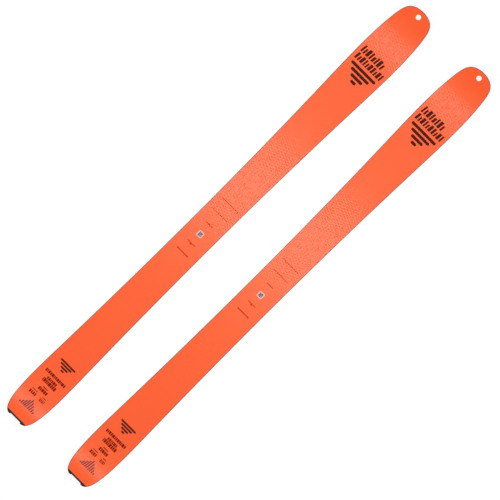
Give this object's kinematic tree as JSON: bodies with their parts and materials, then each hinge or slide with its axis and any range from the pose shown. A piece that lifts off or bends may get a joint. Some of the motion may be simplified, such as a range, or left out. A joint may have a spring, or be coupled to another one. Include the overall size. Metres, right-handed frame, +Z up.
{
  "type": "pair of touring skis",
  "caption": "Wide touring skis lying side by side, rockered at tip and tail, with a hole through each tip, a skin-clip notch at each tail and a flat deck where a binding is screwed on.",
  "frame": {"origin": "on the ground midway between the two skis and midway from tail to tip", "axes": "+Y towards the tips, +X towards the right ski, +Z up"},
  "size_m": [0.414, 1.838, 0.0652],
  "materials": {
    "sintered_base": "stone-ground, waxed",
    "edge_steel": "fine-ground",
    "foil_rubber": "matte",
    "glass_ply": "resin-wet glass cloth",
    "carbon_laminate": "resin-wet carbon and glass",
    "poplar": "planed",
    "paulownia": "planed",
    "plate_metal": "sanded",
    "sidewall_plastic": "planed satin",
    "spacer_plastic": "sanded",
    "orange_topsheet": "satin, embossed with a fine staggered grain",
    "protector_plastic": "satin",
    "screen_print": "printed"
  },
  "bodies": {
    "left_ski": {"left_running_base": "sintered_base", "left_inside_edge": "edge_steel", "left_outside_edge": "edge_steel", "left_inside_edge_foil": "foil_rubber", "left_outside_edge_foil": "foil_rubber", "left_inner_ply": "glass_ply", "left_lower_laminate": "carbon_laminate", "left_poplar_stringers": "poplar", "left_paulownia_stringers": "paulownia", "left_binding_plate": "plate_metal", "left_inside_sidewall": "sidewall_plastic", "left_outside_sidewall": "sidewall_plastic", "left_tip_spacer": "spacer_plastic", "left_tail_spacer": "spacer_plastic", "left_upper_laminate": "carbon_laminate", "left_topsheet": "orange_topsheet", "left_tail_protector": "protector_plastic", "left_boot_centre_label": "screen_print"},
    "right_ski": {"right_running_base": "sintered_base", "right_inside_edge": "edge_steel", "right_outside_edge": "edge_steel", "right_inside_edge_foil": "foil_rubber", "right_outside_edge_foil": "foil_rubber", "right_inner_ply": "glass_ply", "right_lower_laminate": "carbon_laminate", "right_poplar_stringers": "poplar", "right_paulownia_stringers": "paulownia", "right_binding_plate": "plate_metal", "right_inside_sidewall": "sidewall_plastic", "right_outside_sidewall": "sidewall_plastic", "right_tip_spacer": "spacer_plastic", "right_tail_spacer": "spacer_plastic", "right_upper_laminate": "carbon_laminate", "right_topsheet": "orange_topsheet", "right_tail_protector": "protector_plastic", "right_boot_centre_label": "screen_print"}
  },
  "joints": [
    {"name": "right_ski_glide", "type": "slide", "parent": "left_ski", "child": "right_ski", "axis": [0, 1, 0], "range_m": [-0.4, 0.4]}
  ]
}
